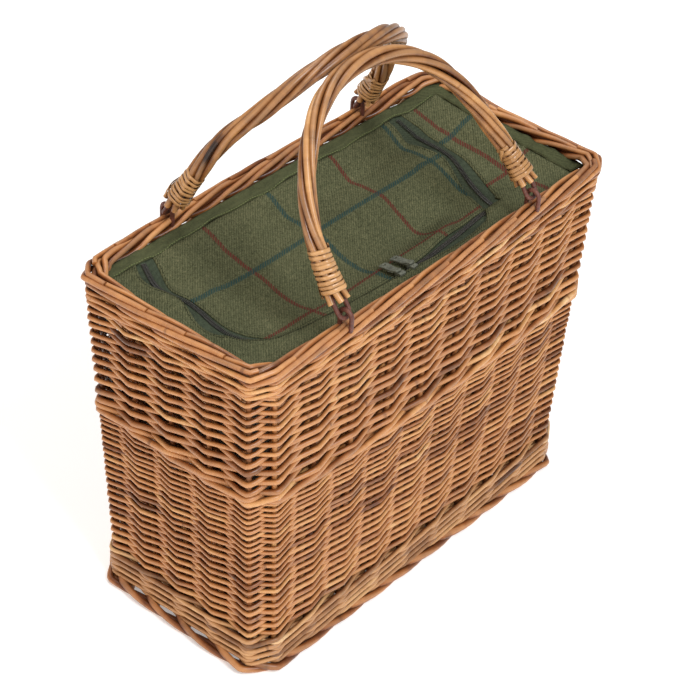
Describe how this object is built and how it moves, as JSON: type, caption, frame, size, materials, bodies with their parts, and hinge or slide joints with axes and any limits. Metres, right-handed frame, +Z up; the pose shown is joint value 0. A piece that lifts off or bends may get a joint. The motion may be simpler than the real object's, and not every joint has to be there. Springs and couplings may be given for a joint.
{
  "type": "wicker cooler basket",
  "caption": "Tall rectangular willow basket with a zipped tweed cooler bag inside and twisted swing handles on leather loops.",
  "frame": {"origin": "middle of the footprint, on the surface that the basket stands on", "axes": "+Z up, +X along the long side, -Y towards the front, where the zip pulls lie"},
  "size_m": [0.464, 0.218, 0.5134],
  "materials": {
    "willow": "satin",
    "pale_willow": "satin",
    "cane": "satin",
    "bag_cloth": "matt",
    "tweed": "matt",
    "hem_cloth": "matt",
    "zip_cloth": "matt",
    "zip_coil": "satin",
    "zip_metal": "satin",
    "leather_cord": "satin"
  },
  "bodies": {
    "basket": {"foot_border": "willow", "base_panel": "willow", "upsett_wale": "pale_willow", "lower_weave": "willow", "middle_wale": "pale_willow", "upper_weave": "willow", "rim_border": "willow", "bag_floor": "bag_cloth", "bag_wall": "bag_cloth", "top_hem": "hem_cloth", "lid_panel": "tweed", "top_surround": "tweed", "zip_tape": "zip_cloth", "zip_coil": "zip_coil", "zip_pull_left": "zip_metal", "zip_pull_right": "zip_metal", "front_left_rim_loop": "leather_cord", "front_right_rim_loop": "leather_cord", "back_left_rim_loop": "leather_cord", "back_right_rim_loop": "leather_cord"},
    "front_handle": {"front_grip": "willow", "front_left_binding": "cane", "front_right_binding": "cane", "front_left_handle_loop": "leather_cord", "front_right_handle_loop": "leather_cord"},
    "back_handle": {"back_grip": "willow", "back_left_binding": "cane", "back_right_binding": "cane", "back_left_handle_loop": "leather_cord", "back_right_handle_loop": "leather_cord"}
  },
  "joints": [
    {"name": "front_handle_swing", "type": "hinge", "parent": "basket", "child": "front_handle", "pos_m": [-0.005, -0.103, 0.3555], "axis": [1, 0, 0], "range_deg": [0, 144]},
    {"name": "back_handle_swing", "type": "hinge", "parent": "basket", "child": "back_handle", "pos_m": [-0.002, 0.103, 0.3555], "axis": [-1, 0, 0], "range_deg": [0, 140]}
  ]
}
